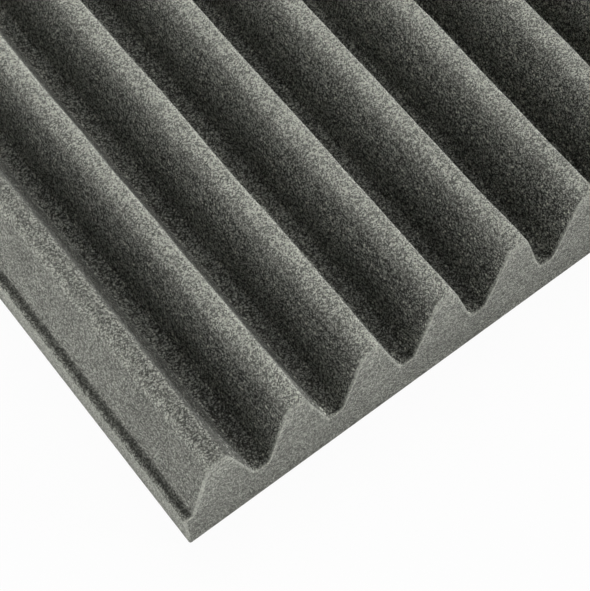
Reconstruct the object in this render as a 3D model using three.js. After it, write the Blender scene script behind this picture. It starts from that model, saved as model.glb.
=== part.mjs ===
import * as THREE from 'three';

// Acoustic foam panel, in millimetres. It is one slab of open-cell foam, cut from a block:
// the back and the four edges are flat, and the front is cut into parallel wedges.
// The slab lies on its back. The origin is the middle of the back face, X runs across
// the wedges, Y runs along them and Z points up out of the back.

// Slab
const wedgeCount = 20;
const wedgePitch = 30;
const panelLength = 600;
const panelThickness = 50;

// Wedge profile
const grooveDepth = 29.5;
const ridgeTopWidth = 7;
const grooveFloorWidth = 5.6;
const ridgeShoulderRadius = 3;
const grooveCornerRadius = 1.5;

// Both side cuts fall this far to the left of the middle of a groove's floor,
// so the first wedge keeps a wider strip of floor beside it than the last one.
const sideCutOffset = 0.55;

// Each rounded corner is drawn in twice this many straight steps.
const cornerSegments = 2;

const panelWidth = wedgeCount * wedgePitch;
const floorHeight = panelThickness - grooveDepth;
const flankRun = (wedgePitch - ridgeTopWidth - grooveFloorWidth) / 2;

const foam = new THREE.MeshStandardMaterial({ color: 0x767770, roughness: 1, metalness: 0 });

// The four corners of one wedge, from the foot of its left flank to the foot of its right
// one, each with the radius that it is rounded to.
function wedgeCorners(leftFoot) {
  const leftShoulder = leftFoot + flankRun;
  const rightShoulder = leftShoulder + ridgeTopWidth;
  const rightFoot = rightShoulder + flankRun;
  return [
    { at: new THREE.Vector2(leftFoot, floorHeight), radius: grooveCornerRadius },
    { at: new THREE.Vector2(leftShoulder, panelThickness), radius: ridgeShoulderRadius },
    { at: new THREE.Vector2(rightShoulder, panelThickness), radius: ridgeShoulderRadius },
    { at: new THREE.Vector2(rightFoot, floorHeight), radius: grooveCornerRadius },
  ];
}

// Runs the outline up to a corner and rounds the corner with an arc. The arc is drawn
// smaller where its radius needs more than half of either edge that meets there.
function roundCorner(outline, before, corner, after, radius) {
  const arriving = corner.clone().sub(before);
  const leaving = after.clone().sub(corner);
  const turn = Math.atan2(arriving.cross(leaving), arriving.dot(leaving));
  const halfTurn = Math.abs(turn) / 2;
  const room = Math.min(arriving.length(), leaving.length()) / 2;
  const setback = Math.min(radius * Math.tan(halfTurn), room);
  const arcRadius = setback / Math.tan(halfTurn);

  const start = corner.clone().addScaledVector(arriving.normalize(), -setback);
  const sideways = arriving.angle() + Math.sign(turn) * Math.PI / 2;
  const centreX = start.x + arcRadius * Math.cos(sideways);
  const centreY = start.y + arcRadius * Math.sin(sideways);
  const startAngle = sideways + Math.PI;
  outline.lineTo(start.x, start.y);
  outline.absarc(centreX, centreY, arcRadius, startAngle, startAngle + turn, turn < 0);
}

// The cross-section of the slab: up the left side, over the wedges and down the right side.
function slabOutline() {
  const leftSide = -panelWidth / 2;
  const rightSide = panelWidth / 2;
  const firstFoot = leftSide + grooveFloorWidth / 2 + sideCutOffset;

  const corners = [];
  for (let wedge = 0; wedge < wedgeCount; wedge += 1) {
    corners.push(...wedgeCorners(firstFoot + wedge * wedgePitch));
  }

  const leftRim = new THREE.Vector2(leftSide, floorHeight);
  const rightRim = new THREE.Vector2(rightSide, floorHeight);
  const outline = new THREE.Shape();
  outline.moveTo(leftSide, 0);
  outline.lineTo(leftRim.x, leftRim.y);
  corners.forEach((corner, index) => {
    const before = index > 0 ? corners[index - 1].at : leftRim;
    const after = index < corners.length - 1 ? corners[index + 1].at : rightRim;
    roundCorner(outline, before, corner.at, after, corner.radius);
  });
  outline.lineTo(rightRim.x, rightRim.y);
  outline.lineTo(rightSide, 0);
  outline.closePath();
  return outline;
}

// The cross-section is drawn flat, drawn out to the panel's length, then stood up.
const slab = new THREE.ExtrudeGeometry(slabOutline(), {
  depth: panelLength,
  bevelEnabled: false,
  curveSegments: cornerSegments,
});
slab.rotateX(Math.PI / 2);
slab.translate(0, panelLength / 2, 0);

const foamPanel = new THREE.Mesh(slab, foam);
foamPanel.name = 'foam_panel';

const acousticFoamPanel = new THREE.Group();
acousticFoamPanel.add(foamPanel);

export default acousticFoamPanel;
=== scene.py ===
from math import ceil, cos, hypot, pi, radians, sin, tan

import bpy
import numpy as np
from mathutils import Matrix, Vector


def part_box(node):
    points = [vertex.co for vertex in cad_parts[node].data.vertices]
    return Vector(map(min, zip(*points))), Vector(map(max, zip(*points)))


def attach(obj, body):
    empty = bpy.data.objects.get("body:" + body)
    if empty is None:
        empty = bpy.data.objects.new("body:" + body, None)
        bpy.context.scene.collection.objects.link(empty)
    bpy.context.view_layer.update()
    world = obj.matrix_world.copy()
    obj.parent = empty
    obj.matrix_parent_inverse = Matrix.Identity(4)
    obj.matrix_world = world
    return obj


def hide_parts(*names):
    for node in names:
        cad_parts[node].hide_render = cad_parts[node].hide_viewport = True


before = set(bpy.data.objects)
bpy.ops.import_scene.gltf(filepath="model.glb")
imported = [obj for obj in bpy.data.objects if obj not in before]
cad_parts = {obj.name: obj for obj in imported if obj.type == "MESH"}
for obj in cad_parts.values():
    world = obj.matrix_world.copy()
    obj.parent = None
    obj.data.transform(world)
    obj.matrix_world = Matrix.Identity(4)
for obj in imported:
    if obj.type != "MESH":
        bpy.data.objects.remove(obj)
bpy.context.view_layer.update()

# Lengths are in metres. The panel lies on its back on Z = 0, X runs across the wedges and
# Y along them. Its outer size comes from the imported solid.
LOW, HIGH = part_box("foam_panel")
MM = 0.001

# Wedge profile. Its sizes are those of the solid, with the corners as round as in the photo.
PITCH = 30 * MM
WEDGES = round((HIGH.x - LOW.x) / PITCH)
GROOVE_DEPTH = 29.5 * MM
GROOVE_Z = HIGH.z - GROOVE_DEPTH
RIDGE_TOP = 7 * MM
GROOVE_FLOOR = 5.6 * MM
FLANK_RUN = (PITCH - RIDGE_TOP - GROOVE_FLOOR) / 2
SIDE_CUT_OFFSET = 0.55 * MM
LEFT_SHOULDER_RADIUS = 4.5 * MM
RIGHT_SHOULDER_RADIUS = 2.3 * MM
GROOVE_RADIUS = 1.8 * MM

# Cut edges of the slab, which the knife leaves a little soft. The two sides stand a little
# above the floor of the groove that they were cut through.
LIP = 1.5 * MM
RIM_RADIUS = 1.2 * MM
BACK_EDGE_RADIUS = 1.0 * MM
END_EDGE_RADIUS = 0.5 * MM

# All of the outline above this height counts as the front, with the sides.
FRONT_FROM_Z = LOW.z + 2 * BACK_EDGE_RADIUS

# The cut ends' edges carry a painted highlight: a light rim, which fades out over these widths
# on the end face and on the faces that run along the panel. It is lightest where these faces lean
# left.
RIM_ON_END = 0.4 * MM
RIM_ALONG = 0.7 * MM
RIM_LEANS = (-1.0, 0.0, 0.5)
RIM_SHARES = (1.0, 0.75, 0.5)

# The faces that run along the panel get painted light and shade: lighter or darker than plain,
# which is 1. A face's lean is the sideways part of its outward direction, from -1 on the left
# to 1 on the right. The wedge tops carry a painted highlight: how much, how far down and from
# which lean to the left on. The two outer wedges have only a share of it.
TOP_HIGHLIGHT = 1.5
TOP_HIGHLIGHT_DEPTH = 2.5 * MM
TOP_HIGHLIGHT_LEAN = 0.65
OUTER_TOP_SHARE = 0.2

# Painted shade on the left shoulders, which lean further left than this, and painted light on
# the outermost one, between two leans
SHOULDER_LEAN = 0.7
LEFT_SHOULDER_TONE = 0.76
OUTER_SHOULDER_LEANS = (-0.94, -0.3)
OUTER_SHOULDER_TONE = 1.4

# Painted light and shade on the flanks, which lean further than this: the right ones darker, the
# left ones by their height above the groove floor, and the first wedge's right side darker once
# more, by its depth below the top
FLANK_LEAN = 0.9
RIGHT_FLANK_TONE = 0.65
LEFT_FLANK_HEIGHTS = (0 * MM, 9 * MM, 15 * MM, 21 * MM, 25 * MM, 28 * MM)
LEFT_FLANK_TONES = (1.1, 1.16, 1.04, 1.09, 0.92, 0.84)
FIRST_RIGHT_DEPTHS = (0.3 * MM, 0.7 * MM, 2 * MM, 6 * MM, 12 * MM)
FIRST_RIGHT_TONES = (1.0, 0.6, 0.6, 0.83, 1.0)

# Painted shade on the floors of the grooves, and of the strips beside the two sides. A face is
# level up to the first lean and steep from the second on.
LEVEL_LEANS = (0.25, 0.75)
GROOVE_FLOOR_TONE = 0.8
OUTER_FLOOR_TONE = 0.55

# All these faces get painted shade near the panel's open ends: distances from the end, and
# tones
END_DISTANCES = (20 * MM, 60 * MM, 200 * MM)
END_TONES = (0.86, 1.0, 1.08)

# A groove's walls are counted as sheltered from this depth on, and fully so from the next.
# Its level floor is open to the sky, and so it is less sheltered.
SHELTER_DEPTHS = (1.5 * MM, 8 * MM)
GROOVE_FLOOR_SHELTER = 0.5

# Fineness of the mesh
SHOULDER_STEPS = 5
GROOVE_STEPS = 3
EDGE_STEPS = 3
FRONT_STEP = 5 * MM
BACK_STEP = 30 * MM
LENGTH_STEP = 4.6 * MM
SAME_PLACE = 0.001 * MM

# Unevenness of the cut: each wedge wanders a little along its length, and its faces ripple.
# Both fade out below the groove floors.
WANDER = 0.35 * MM
WANDER_LENGTHS = (0.34, 0.17, 0.09)
WANDER_SIZES = (0.3, 1)
RIPPLE = 0.16 * MM
RIPPLE_LENGTH = 28 * MM
RIPPLE_LENGTH_SHARES = (0.6, 1.6)
RIPPLE_WAVES = 14
FADE_OUT = PITCH / 4
SEED = 11


def rounded_corner(before, corner, after, radius, steps):
    """Points of the arc that rounds a corner, cut short where an edge is too short for it."""
    arrive = corner - before
    leave = after - corner
    turn = np.arctan2(arrive[0] * leave[1] - arrive[1] * leave[0], arrive @ leave)
    room = min(hypot(*arrive), hypot(*leave)) / 2
    setback = min(radius * tan(abs(turn) / 2), room)
    arc_radius = setback / tan(abs(turn) / 2)
    arrive = arrive / hypot(*arrive)
    inward = np.sign(turn) * np.array((-arrive[1], arrive[0]))
    centre = corner - arrive * setback + inward * arc_radius
    angles = abs(turn) * np.arange(steps + 1) / steps
    return [centre + arc_radius * (sin(angle) * arrive - cos(angle) * inward) for angle in angles]


def wedge_corners(foot):
    """One wedge's four corners, from the foot of its left flank to that of its right flank."""
    left = foot + FLANK_RUN
    right = left + RIDGE_TOP
    return [
        ((foot, GROOVE_Z), GROOVE_RADIUS, GROOVE_STEPS, "wedge"),
        ((left, HIGH.z), LEFT_SHOULDER_RADIUS, SHOULDER_STEPS, None),
        ((right, HIGH.z), RIGHT_SHOULDER_RADIUS, SHOULDER_STEPS, None),
        ((right + FLANK_RUN, GROOVE_Z), GROOVE_RADIUS, GROOVE_STEPS, None),
    ]


def panel_corners():
    """Corners of the cross-section, clockwise from the back's left edge.

    Each has its place, its radius, its steps and, where a strip of the bake's map begins
    there, that strip's name.
    """
    corners = [
        ((LOW.x, LOW.z), BACK_EDGE_RADIUS, EDGE_STEPS, "side"),
        ((LOW.x, GROOVE_Z + LIP), RIM_RADIUS, EDGE_STEPS, None),
    ]
    first_foot = LOW.x + GROOVE_FLOOR / 2 + SIDE_CUT_OFFSET
    for wedge in range(WEDGES):
        corners += wedge_corners(first_foot + wedge * PITCH)
    corners += [
        ((HIGH.x, GROOVE_Z + LIP), RIM_RADIUS, EDGE_STEPS, "side"),
        ((HIGH.x, LOW.z), BACK_EDGE_RADIUS, EDGE_STEPS, "back"),
    ]
    return corners


def straight_run(start, end, step):
    """The points between two ends, without the ends."""
    count = ceil(hypot(*(end - start)) / step)
    return [start + (end - start) * share / count for share in range(1, count)]


def cross_section():
    """The outline as one closed ring of points, and the strips as {number of first point: name}.

    The points lie close together on the front and a wedge apart on the back, where each
    piece between two of them is a strip.
    """
    corners = panel_corners()
    places = [np.array(corner[0]) for corner in corners]
    ring = []
    strips = {}
    for index, (_, radius, steps, strip) in enumerate(corners):
        after = places[(index + 1) % len(places)]
        arc = rounded_corner(places[index - 1], places[index], after, radius, steps)
        if ring and hypot(*(arc[0] - ring[-1])) < SAME_PLACE:
            ring.pop()
        elif ring:
            ring += straight_run(ring[-1], arc[0], FRONT_STEP)
        if strip:
            strips[len(ring)] = strip
        ring += arc
    for point in straight_run(ring[-1], ring[0], BACK_STEP):
        strips[len(ring)] = "back"
        ring.append(point)
    return np.array(ring), strips


def ring_normals(ring):
    """Outward directions at the points of a clockwise ring."""
    along = np.roll(ring, -1, 0) - np.roll(ring, 1, 0)
    normals = np.stack([-along[:, 1], along[:, 0]], -1)
    return normals / np.linalg.norm(normals, axis=1)[:, None]


def stations():
    """Places along the panel, with how far the outline is drawn in and how much painted rim
    highlight it has there.

    They run from one end face's inner edge over its rounded rim to the middle, and on
    to the other end the same way.
    """
    half = (HIGH.y - LOW.y) / 2
    turns = np.linspace(0, pi / 2, EDGE_STEPS + 1)
    rim = half - END_EDGE_RADIUS * (1 - np.cos(turns))
    rim_drawn = END_EDGE_RADIUS * (1 - np.sin(turns))
    plain_from = half - END_EDGE_RADIUS - RIM_ALONG
    inner = np.linspace(plain_from, 0, ceil(plain_from / LENGTH_STEP) + 1)
    from_middle = np.concatenate([[half], rim, inner])
    drawn = np.concatenate([[END_EDGE_RADIUS + RIM_ON_END], rim_drawn, np.zeros(len(inner))])
    rim_lit = np.concatenate([[0], np.ones(len(rim)), np.zeros(len(inner))])
    middle = (HIGH.y + LOW.y) / 2
    along = np.concatenate([middle - from_middle, middle + from_middle[-2::-1]])
    return along, np.append(drawn, drawn[-2::-1]), np.append(rim_lit, rim_lit[-2::-1])


def level_share(lean):
    """1 where the surface is about level and 0 where it is steep."""
    return np.interp(np.abs(lean), LEVEL_LEANS, (1, 0))


def painted_light_across(ring):
    """The painted light and shade at each point of the cross-section, where 1 is plain."""
    lean = ring_normals(ring)[:, 0]
    across = np.abs(ring[:, 0])
    z = ring[:, 1]
    near_top = np.clip(1 - (HIGH.z - z) / TOP_HIGHLIGHT_DEPTH, 0, 1)
    outer_wedge = across > HIGH.x - PITCH
    # Painted highlight on the wedge tops, lightest where they lean right
    highlight = np.where(outer_wedge, OUTER_TOP_SHARE, 1) * TOP_HIGHLIGHT
    painted_light = 1 + highlight * near_top * np.clip(lean + TOP_HIGHLIGHT_LEAN, 0, 1)

    on_wedge = (across < HIGH.x - RIM_RADIUS) & (z > GROOVE_Z + LIP)
    between_wedges = across < HIGH.x - PITCH / 2
    in_groove = on_wedge & between_wedges
    left_flank = in_groove & (lean < -FLANK_LEAN)
    left_flank_tone = np.interp(z - GROOVE_Z, LEFT_FLANK_HEIGHTS, LEFT_FLANK_TONES)
    first_right = in_groove & outer_wedge & (lean > 0)
    first_right_tone = np.interp(HIGH.z - z, FIRST_RIGHT_DEPTHS, FIRST_RIGHT_TONES)
    steepest, flattest = OUTER_SHOULDER_LEANS
    outer_shoulder = on_wedge & ~between_wedges & (lean > steepest) & (lean < flattest)
    # Painted light and shade on the flanks and the first wedge's right side
    painted_light[in_groove & (lean > FLANK_LEAN)] = RIGHT_FLANK_TONE
    painted_light[first_right] *= first_right_tone[first_right]
    painted_light[left_flank] = left_flank_tone[left_flank]
    # Painted shade on the left shoulders and painted light on the outermost one
    painted_light[in_groove & (lean < -SHOULDER_LEAN) & (near_top > 0)] = LEFT_SHOULDER_TONE
    painted_light[outer_shoulder] = OUTER_SHOULDER_TONE

    # Painted shade on the groove floors and on the strips beside the sides
    low_front = (z > FRONT_FROM_Z) & (z < GROOVE_Z + LIP)
    floor_tone = 1 - (1 - GROOVE_FLOOR_TONE) * level_share(lean)
    painted_light = np.where(low_front & between_wedges, floor_tone, painted_light)
    beside_side = (across > HIGH.x - GROOVE_FLOOR) & (across < HIGH.x - RIM_RADIUS)
    painted_light[low_front & beside_side] = OUTER_FLOOR_TONE
    return painted_light


def sheltered_across(ring):
    """1 deep in a groove and 0 on the wedge tops and the two outer flanks, at each point."""
    deep = np.interp(HIGH.z - ring[:, 1], SHELTER_DEPTHS, (0, 1))
    between_wedges = np.abs(ring[:, 0]) < HIGH.x - PITCH / 2
    on_front = ring[:, 1] > FRONT_FROM_Z
    open_floor = (1 - GROOVE_FLOOR_SHELTER) * level_share(ring_normals(ring)[:, 0])
    return deep * between_wedges * on_front * (1 - open_floor)


def surface_values(ring, along, rim_lit):
    """The values that the foam's material reads at each point, as {name: rows of values}."""
    on_front = ring[:, 1] > FRONT_FROM_Z
    rim_share = np.interp(ring_normals(ring)[:, 0], RIM_LEANS, RIM_SHARES)
    from_end = np.minimum(along - LOW.y, HIGH.y - along)
    on_end = from_end < END_EDGE_RADIUS
    end_tone = np.interp(from_end, END_DISTANCES, END_TONES)
    # Painted shade near the open ends, on top of the painted light and shade across
    painted_light = painted_light_across(ring) * np.where(on_front, end_tone[:, None], 1)
    painted_light[on_end] = 1
    return {
        # Painted highlight on the end rims, then the painted light and shade of the faces
        "rim_highlight": rim_lit[:, None] * (on_front * rim_share)[None],
        "painted_light": painted_light,
        "shelter": np.where(on_end[:, None], 0, sheltered_across(ring)[None]),
    }


def wander(x, y, random):
    """Sideways drift of the wedges: slow waves along each, each wedge with its own."""
    wedge = np.clip(((x - LOW.x) / PITCH).astype(int), 0, None)
    count = wedge.max() + 1
    drift = np.zeros_like(x)
    for length in WANDER_LENGTHS:
        phase = random.uniform(0, 2 * pi, count)
        size = random.uniform(*WANDER_SIZES, count) * length / sum(WANDER_LENGTHS)
        drift += size[wedge] * np.sin(2 * pi * y / length + phase[wedge])
    return WANDER * drift


def ripple(points, random):
    """Small swells of the cut faces: waves in many directions, added up."""
    directions = random.normal(size=(RIPPLE_WAVES, 3))
    directions /= np.linalg.norm(directions, axis=1)[:, None]
    lengths = RIPPLE_LENGTH * random.uniform(*RIPPLE_LENGTH_SHARES, RIPPLE_WAVES)
    phases = random.uniform(0, 2 * pi, RIPPLE_WAVES)
    waves = np.sin(2 * pi * (points @ directions.T) / lengths + phases)
    return RIPPLE * waves.sum(-1) / RIPPLE_WAVES**0.5


def foam_points(ring, along, drawn):
    """The ring repeated along the panel, with soft ends and an uneven cut."""
    random = np.random.default_rng(SEED)
    normals = ring_normals(ring)
    flat = ring[None] - drawn[:, None, None] * normals[None]
    y = np.broadcast_to(along[:, None], flat.shape[:2])
    points = np.stack([flat[..., 0], y, flat[..., 1]], -1)
    uneven = np.interp(points[..., 2], (GROOVE_Z - FADE_OUT, GROOVE_Z), (0, 1))
    inside = np.clip((HIGH.x - np.abs(points[..., 0])) / PITCH, 0, 1)
    swell = ripple(points, random) * uneven
    points[..., 0] += wander(points[..., 0], points[..., 1], random) * uneven * inside
    points[..., 0] += swell * normals[None, :, 0] * inside
    points[..., 2] += swell * normals[None, :, 1]
    return points


def grid_faces(rows, columns):
    """Quads between neighbouring rings."""
    row, column = np.meshgrid(np.arange(rows - 1), np.arange(columns), indexing="ij")
    beside = (column + 1) % columns
    this_row = row * columns
    next_row = this_row + columns
    corners = [this_row + column, this_row + beside, next_row + beside, next_row + column]
    return np.stack(corners, -1).reshape(-1, 4)


def end_pieces(strips, columns):
    """An end face's pieces, one behind each wedge, as numbers of the ring's points round them."""
    fronts = [point for point, name in strips.items() if name == "wedge"]
    backs = [point for point, name in strips.items() if name == "back"][:0:-1]
    pieces = [[*range(backs[0], columns), *range(fronts[1] + 1)]]
    for wedge in range(1, WEDGES - 1):
        front = range(fronts[wedge], fronts[wedge + 1] + 1)
        pieces.append([*front, backs[wedge], backs[wedge - 1]])
    pieces.append([*range(fronts[-1], backs[-1] + 1)])
    return pieces


# The map that the finish is baked through when the part leaves Blender. All wedges lie on
# one another in it, and so do both halves of their length, so that the map holds the cells.
# Each strip has its place across the map and its scale.
STRIPS = {"wedge": (0 * MM, 1.0), "back": (76 * MM, 0.5), "side": (93 * MM, 0.6)}
END_STRIP = 111 * MM
END_SCALE = (0.5, 5.5)
MAP_SIZE = (131 * MM, 302 * MM)


def strip_places(ring, strips):
    """Where each piece of the ring begins and ends across the map."""
    lengths = np.linalg.norm(np.roll(ring, -1, 0) - ring, axis=1)
    begins = np.zeros(len(ring))
    scales = np.zeros(len(ring))
    for point, length in enumerate(lengths):
        if point in strips:
            place, scale = STRIPS[strips[point]]
        begins[point] = place
        scales[point] = scale
        place += length * scale
    return begins, begins + lengths * scales


def bake_map(ring, strips, along, drawn, pieces):
    """The map's coordinates for each corner of the faces, first the quads, then both ends."""
    begins, ends = strip_places(ring, strips)
    steps = np.hypot(np.diff(along), np.diff(drawn))
    run = np.concatenate([[0], np.cumsum(steps)])
    up = np.abs(run - run[-1] / 2)
    grid = (len(up) - 1, len(ring))
    low, high = (np.broadcast_to(part[:, None], grid) for part in (up[:-1], up[1:]))
    left, right = (np.broadcast_to(part, grid) for part in (begins, ends))
    quads = np.stack([left, low, right, low, right, high, left, high], -1).reshape(-1, 2)
    flat = []
    for wedge, piece in enumerate(pieces):
        place = ring[piece] - (LOW.x + wedge * PITCH, LOW.z)
        flat.append(place * END_SCALE + (END_STRIP, 0))
    near = np.concatenate([piece[::-1] for piece in flat])
    far = np.concatenate(flat)
    return np.concatenate([quads, near, far]) / MAP_SIZE


def make_foam_panel():
    """The foam as one closed mesh."""
    ring, strips = cross_section()
    along, drawn, rim_lit = stations()
    points = foam_points(ring, along, drawn)
    pieces = end_pieces(strips, len(ring))
    last_row = (len(along) - 1) * len(ring)
    faces = grid_faces(len(along), len(ring)).tolist()
    faces += [piece[::-1] for piece in pieces]
    faces += [[last_row + point for point in piece] for piece in pieces]
    mesh = bpy.data.meshes.new("foam_panel_finish")
    mesh.from_pydata(points.reshape(-1, 3).tolist(), [], faces)
    smooth = np.ones(len(faces), bool)
    smooth[-2 * WEDGES:] = False
    mesh.polygons.foreach_set("use_smooth", smooth)
    for name, values in surface_values(ring, along, rim_lit).items():
        mesh.attributes.new(name, "FLOAT", "POINT").data.foreach_set("value", values.ravel())
    places = bake_map(ring, strips, along, drawn, pieces)
    mesh.uv_layers.new(name="OFBake").uv.foreach_set("vector", places.ravel())
    mesh.update()
    panel = bpy.data.objects.new("foam_panel_finish", mesh)
    bpy.context.scene.collection.objects.link(panel)
    return panel


class Nodes:
    """Adds shader nodes to one tree and links them."""

    def __init__(self, owner):
        owner.use_nodes = True
        self.tree = owner.node_tree
        self.tree.nodes.clear()

    def add(self, kind, settings=None, **inputs):
        node = self.tree.nodes.new(kind)
        for name, value in (settings or {}).items():
            setattr(node, name, value)
        for name, value in inputs.items():
            self.put(node, name.replace("_", " "), value)
        return node

    def put(self, node, name, value):
        """Links or sets an input, given by its name, or by its number where names repeat."""
        socket = node.inputs[name]
        if isinstance(value, bpy.types.NodeSocket):
            self.tree.links.new(value, socket)
        else:
            socket.default_value = value

    def math(self, operation, a, b=0.0, clamp=False):
        node = self.add("ShaderNodeMath", {"operation": operation, "use_clamp": clamp})
        self.put(node, 0, a)
        self.put(node, 1, b)
        return node.outputs[0]

    def product(self, result, *factors, clamp=False):
        for factor in factors:
            result = self.math("MULTIPLY", result, factor, clamp)
        return result

    def offset(self, vector, shift, factor):
        """The vector moved by a share of a shift that lies around one half on each axis."""
        centred = self.add("ShaderNodeVectorMath", {"operation": "SUBTRACT"})
        self.put(centred, 0, shift)
        self.put(centred, 1, (0.5, 0.5, 0.5))
        scaled = self.add("ShaderNodeVectorMath", {"operation": "SCALE"}, Scale=factor)
        self.put(scaled, 0, centred.outputs[0])
        moved = self.add("ShaderNodeVectorMath", {"operation": "ADD"})
        self.put(moved, 0, vector)
        self.put(moved, 1, scaled.outputs[0])
        return moved.outputs[0]

    def ranged(self, value, source, target):
        """Maps one range to another, without going past the target's ends."""
        node = self.add("ShaderNodeMapRange", Value=value, From_Min=source[0], From_Max=source[1])
        self.put(node, "To Min", target[0])
        self.put(node, "To Max", target[1])
        return node.outputs[0]

    def parts(self, vector):
        return self.add("ShaderNodeSeparateXYZ", Vector=vector).outputs

    def red(self, colour):
        return self.add("ShaderNodeSeparateColor", Color=colour).outputs[0]

    def mix(self, share, low, high):
        node = self.add("ShaderNodeMix", {"data_type": "RGBA"})
        self.put(node, 0, share)
        self.put(node, 6, low)
        self.put(node, 7, high)
        return node.outputs[2]

    def noise(self, place, size, detail):
        return self.add("ShaderNodeTexNoise", Vector=place, Scale=1 / size, Detail=detail).outputs

    def cells(self, place, size, feature="F1"):
        settings = {"feature": feature}
        return self.add("ShaderNodeTexVoronoi", settings, Vector=place, Scale=1 / size).outputs

    def attribute(self, name):
        return self.add("ShaderNodeAttribute", {"attribute_name": name}).outputs["Fac"]


# Ranges that run up or down between nothing and all, and a plain colour
WHOLE = (0.0, 1.0)
FALLING = (1.0, 0.0)
WHITE = (1, 1, 1, 1)

# Foam: open cells, each with its own brightness, struts lighter than the pores between them
STRUT_COLOUR = (0.775, 0.789, 0.705, 1)
PORE_COLOUR = (0.0198, 0.0202, 0.0172, 1)
# Colour of the painted highlight on the rims of the cut ends
RIM_HIGHLIGHT_COLOUR = (0.745, 0.758, 0.68, 1)
CELL = 0.44 * MM
CELL_WARP = 0.25 * MM
STRUT_REACH = (0.0, 0.3)
STRUT_SHARE = 0.24
OWN_RANGE = (0.45, 0.8)
OWN_SHARE = 0.64

# On the open faces the cells are drawn a little towards this even brightness, a painted effect
# of light: the grain shows less there than under the grazing light deep in the grooves.
EVEN_OWN = 0.4
OPEN_EVENNESS = 0.22

# Noises that the cells' brightness is multiplied by: size, detail, range and factors
DUST = (0.3 * MM, 1.0, (0.35, 0.65), (0.4, 1.5))
MOTTLE = (9 * MM, 2.0, (0.3, 0.7), (0.9, 1.1))
CLOUD = (60 * MM, 2.0, (0.3, 0.7), (0.93, 1.07))

# A face counts as upright, and as one of the two sides, by its direction's parts. The sides
# get painted light, more of it towards their lip.
UPRIGHT_UP = (0.05, 0.2)
SIDE_ACROSS = (0.97, 0.99)
SIDE_LIGHTS = (1.28, 1.86)

# Painted light and shade on the upright faces, for light that comes through the thin foam of
# the wedges: darker towards the bottom, lighter towards the top and most at the wedge tips.
THIN_GLOW = 0.2
TIP_GLOW = 0.35
TIP_HEIGHT = 12 * MM

# Deep in the grooves light only grazes the struts, so there the struts are painted to stand out
# more, and here and there one is painted as a bright pin, a glint.
SHELTER_CONTRAST = 1.6
SHELTER_LIGHT = 1.55
PIN_SPACING = 1.3 * MM
PIN_CHOICE = (0.78, 0.8)
PIN_REACH = (0.25, 0.4)
PIN_COLOUR = (0.94, 0.955, 0.85, 1)

# How strongly the painted rim highlight shows, from the darkest cells to the lightest
RIM_STRENGTHS = (0.4, 1.0)

# Relief of the surface, and its finish
FACET = 0.5 * MM
RELIEF = 0.4 * MM
STRUT_RELIEF = 0.1
FINISH = {
    "Roughness": 0.95,
    "Specular IOR Level": 0.1,
    "Diffuse Roughness": 0.6,
    "Sheen Weight": 0.05,
    "Sheen Roughness": 0.5,
}


def foam_cells(n, place, shelter):
    """How near a strut is, and how bright the cell is, both from 0 to 1."""
    warp = n.noise(place, CELL, 1.0)["Color"]
    warped = n.offset(place, warp, 2 * CELL_WARP)
    strut = n.ranged(n.cells(warped, CELL, "DISTANCE_TO_EDGE")["Distance"], STRUT_REACH, FALLING)
    own = n.ranged(n.red(n.cells(warped, CELL)["Color"]), OWN_RANGE, WHOLE)
    # Painted light: the cells are evened out on the open faces
    evenness = n.ranged(shelter, WHOLE, (OPEN_EVENNESS, 0.0))
    evened = n.product(n.math("SUBTRACT", EVEN_OWN, own), evenness)
    return strut, n.math("ADD", own, evened)


def upright_faces(n, height):
    """1 on the end and side faces and 0 on all that slopes, then the sides' painted light."""
    across, _, up = n.parts(n.add("ShaderNodeNewGeometry").outputs["Normal"])
    upright = n.ranged(n.math("ABSOLUTE", up), UPRIGHT_UP, FALLING)
    side_light = n.ranged(height, (LOW.z, GROOVE_Z), SIDE_LIGHTS)
    return upright, n.ranged(n.math("ABSOLUTE", across), SIDE_ACROSS, (1.0, side_light))


def glow_at(n, height, upright):
    """Factor of painted light and shade on the upright faces, for light that comes through the
    foam.
    """
    thin = n.ranged(height, (LOW.z, HIGH.z), (-THIN_GLOW, THIN_GLOW))
    tip = n.ranged(height, (HIGH.z - TIP_HEIGHT, HIGH.z), (0.0, TIP_GLOW))
    return n.math("ADD", n.product(upright, n.math("ADD", thin, tip)), 1.0)


def foam_lightness(n, place, strut, own, shelter):
    """How far the colour is from that of the pores, 0, to that of the struts, 1."""
    light = n.math("ADD", n.product(strut, STRUT_SHARE), n.product(own, OWN_SHARE))
    for size, detail, source, factors in (DUST, MOTTLE, CLOUD):
        light = n.product(light, n.ranged(n.noise(place, size, detail)[0], source, factors))
    height = n.parts(place)[2]
    upright, side = upright_faces(n, height)
    # Painted light and shade of the faces along the panel, and the sides' painted light
    light = n.product(light, side, n.attribute("painted_light"))
    # Painted grazing light deep in the grooves: more contrast in the cells, and lighter
    light = n.math("POWER", light, n.ranged(shelter, WHOLE, (1.0, SHELTER_CONTRAST)))
    light = n.product(light, n.ranged(shelter, WHOLE, (1.0, SHELTER_LIGHT)))
    return n.product(light, glow_at(n, height, upright), clamp=True)


def painted_glints_at(n, place, shelter):
    """1 on the painted glints: bright pins of the sheltered faces."""
    pins = n.cells(place, PIN_SPACING)
    chosen = n.ranged(n.red(pins["Color"]), PIN_CHOICE, WHOLE)
    return n.product(chosen, n.ranged(pins["Distance"], PIN_REACH, FALLING), shelter)


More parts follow.
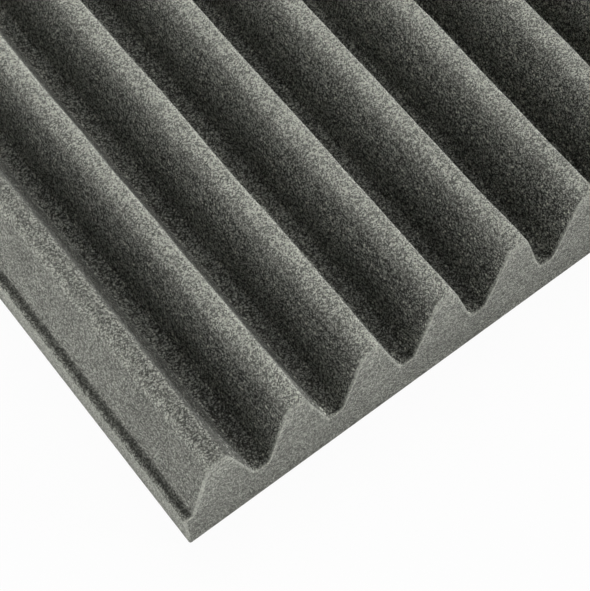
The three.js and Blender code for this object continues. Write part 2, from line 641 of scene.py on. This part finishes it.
def foam_material():
    material = bpy.data.materials.new("charcoal_foam")
    n = Nodes(material)
    place = n.add("ShaderNodeTexCoord").outputs["Object"]
    shelter = n.attribute("shelter")
    strut, own = foam_cells(n, place, shelter)
    light = foam_lightness(n, place, strut, own, shelter)
    # Painted highlight on the rims of the cut ends
    rim = n.product(n.attribute("rim_highlight"), n.ranged(own, WHOLE, RIM_STRENGTHS))
    colour = n.mix(light, PORE_COLOUR, STRUT_COLOUR)
    # Painted glints in the grooves
    colour = n.mix(painted_glints_at(n, place, shelter), colour, PIN_COLOUR)
    colour = n.mix(rim, colour, RIM_HIGHLIGHT_COLOUR)

    relief = n.math("ADD", n.product(strut, STRUT_RELIEF), n.noise(place, FACET, 0.0)[0])
    bump = n.add("ShaderNodeBump", Height=relief, Strength=1.0, Distance=RELIEF)
    shader = n.add("ShaderNodeBsdfPrincipled", Base_Color=colour, Normal=bump.outputs[0])
    for name, value in FINISH.items():
        shader.inputs[name].default_value = value
    n.add("ShaderNodeOutputMaterial", Surface=shader.outputs[0])
    return material


FLOOR_COLOUR = (0.9, 0.9, 0.9, 1)
FLOOR_SHADE = 0.04
FLOOR_HALF = 6.0
FLOOR_GAP = 0.2 * MM
WORLD_STRENGTH = 0.01


def seen_share(n):
    """1 for what is seen straight, mirrored or through glass, and 0 for what only gives light."""
    path = n.add("ShaderNodeLightPath").outputs
    seen = n.math("MAXIMUM", path["Is Camera Ray"], path["Is Glossy Ray"])
    return n.math("MAXIMUM", seen, path["Is Transmission Ray"])


def floor_material():
    """Pale floor. To the camera it is mostly plain white, with a share of its shading kept."""
    material = bpy.data.materials.new("white_floor")
    n = Nodes(material)
    shaded = n.add("ShaderNodeBsdfDiffuse", Color=FLOOR_COLOUR).outputs[0]
    white = n.add("ShaderNodeEmission", Color=WHITE, Strength=1.0).outputs[0]
    mix = n.add("ShaderNodeMixShader", Fac=n.product(seen_share(n), 1 - FLOOR_SHADE))
    n.put(mix, 1, shaded)
    n.put(mix, 2, white)
    n.add("ShaderNodeOutputMaterial", Surface=mix.outputs[0])
    return material


def make_floor():
    mesh = bpy.data.meshes.new("floor")
    corners = [(-1, -1), (1, -1), (1, 1), (-1, 1)]
    places = [(x * FLOOR_HALF, y * FLOOR_HALF, 0) for x, y in corners]
    mesh.from_pydata(places, [], [(0, 1, 2, 3)])
    mesh.materials.append(floor_material())
    floor = bpy.data.objects.new("floor", mesh)
    floor.location.z = -FLOOR_GAP
    bpy.context.scene.collection.objects.link(floor)


def make_world():
    """A faint even light, and plain white where it is seen past the floor."""
    world = bpy.data.worlds.new("studio")
    bpy.context.scene.world = world
    n = Nodes(world)
    strength = n.ranged(seen_share(n), WHOLE, (WORLD_STRENGTH, 1.0))
    light = n.add("ShaderNodeBackground", Color=WHITE, Strength=strength)
    n.add("ShaderNodeOutputWorld", Surface=light.outputs[0])


# Studio lamps: name, heading, elevation and width in degrees, and strength, where a white
# surface turned to a lamp of strength 1 looks white.
LAMPS = [
    ("front_right", 318, 8, 20, 0.83),
    ("left_low", 180, 5, 22, 0.56),
    ("back_left", 150, 28, 44, 0.25),
    ("back_right", 45, 60, 40, 0.4),
]


def make_lamps():
    for name, heading, elevation, width, strength in LAMPS:
        data = bpy.data.lights.new(name, "SUN")
        data.angle = radians(width)
        data.energy = strength * pi
        lamp = bpy.data.objects.new(name, data)
        turned = Matrix.Rotation(radians(heading + 90), 4, "Z")
        lamp.matrix_world = turned @ Matrix.Rotation(radians(90 - elevation), 4, "X")
        bpy.context.scene.collection.objects.link(lamp)


# The camera, fitted to the photograph: its heading, height and roll, and where the panel's
# nearest bottom corner lies in its view, to the right, up and ahead.
HEADING = radians(-34.12)
ELEVATION = radians(64.08)
ROLL = radians(-3.58)
CORNER_IN_VIEW = Vector((-34.41, -81.42, -619.5)) * MM
FOCAL_LENGTH = 115.2


def make_camera():
    data = bpy.data.cameras.new("camera")
    data.lens = FOCAL_LENGTH
    camera = bpy.data.objects.new("camera", data)
    bpy.context.scene.collection.objects.link(camera)
    turn = Matrix.Rotation(HEADING, 3, "Z") @ Matrix.Rotation(pi / 2 - ELEVATION, 3, "X")
    turn = turn @ Matrix.Rotation(ROLL, 3, "Z")
    corner = Vector((LOW.x, LOW.y, LOW.z))
    camera.matrix_world = Matrix.Translation(corner - turn @ CORNER_IN_VIEW) @ turn.to_4x4()
    bpy.context.scene.camera = camera


panel = make_foam_panel()
panel.data.materials.append(foam_material())
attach(panel, "root")
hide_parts("foam_panel")
make_floor()
make_world()
make_lamps()
make_camera()
bpy.context.scene.view_settings.view_transform = "Standard"
